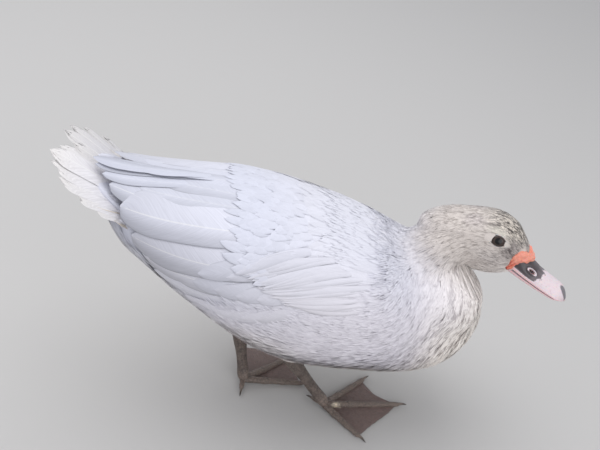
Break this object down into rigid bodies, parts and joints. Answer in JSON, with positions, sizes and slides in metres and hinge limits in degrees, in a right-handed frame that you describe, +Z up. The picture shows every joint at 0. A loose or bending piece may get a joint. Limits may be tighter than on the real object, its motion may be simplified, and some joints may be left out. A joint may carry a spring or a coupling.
{
  "type": "muscovy duck",
  "caption": "Still, life-size model of a pale lavender Muscovy duck, standing with its neck drawn in and its head turned a little to the right.",
  "frame": {"origin": "middle of the ground outline, at the level of the soles", "axes": "+X the way the body faces, +Y to the bird's left, +Z up"},
  "size_m": [0.4668, 0.1818, 0.2609],
  "materials": {
    "body_plumage": "matte",
    "wing_plumage": "matte",
    "head_plumage": "matte",
    "tail_plumage": "matte",
    "bill_horn": "gloss",
    "bare_face_skin": "satin",
    "eye": "gloss",
    "leg_skin": "satin",
    "claw_horn": "satin"
  },
  "bodies": {
    "root": {"bill_lower": "bill_horn", "bill_upper": "bill_horn", "caruncle": "bare_face_skin", "claw_hind_left": "claw_horn", "claw_hind_right": "claw_horn", "claw_inner_left": "claw_horn", "claw_inner_right": "claw_horn", "claw_middle_left": "claw_horn", "claw_middle_right": "claw_horn", "claw_outer_left": "claw_horn", "claw_outer_right": "claw_horn", "eye_left": "eye", "eye_right": "eye", "foot_left": "leg_skin", "foot_right": "leg_skin", "head": "head_plumage", "neck": "head_plumage", "shank_left": "leg_skin", "shank_right": "leg_skin", "tail": "tail_plumage", "thigh_left": "body_plumage", "thigh_right": "body_plumage", "trunk": "body_plumage", "wing_left": "wing_plumage", "wing_right": "wing_plumage"}
  },
  "joints": []
}
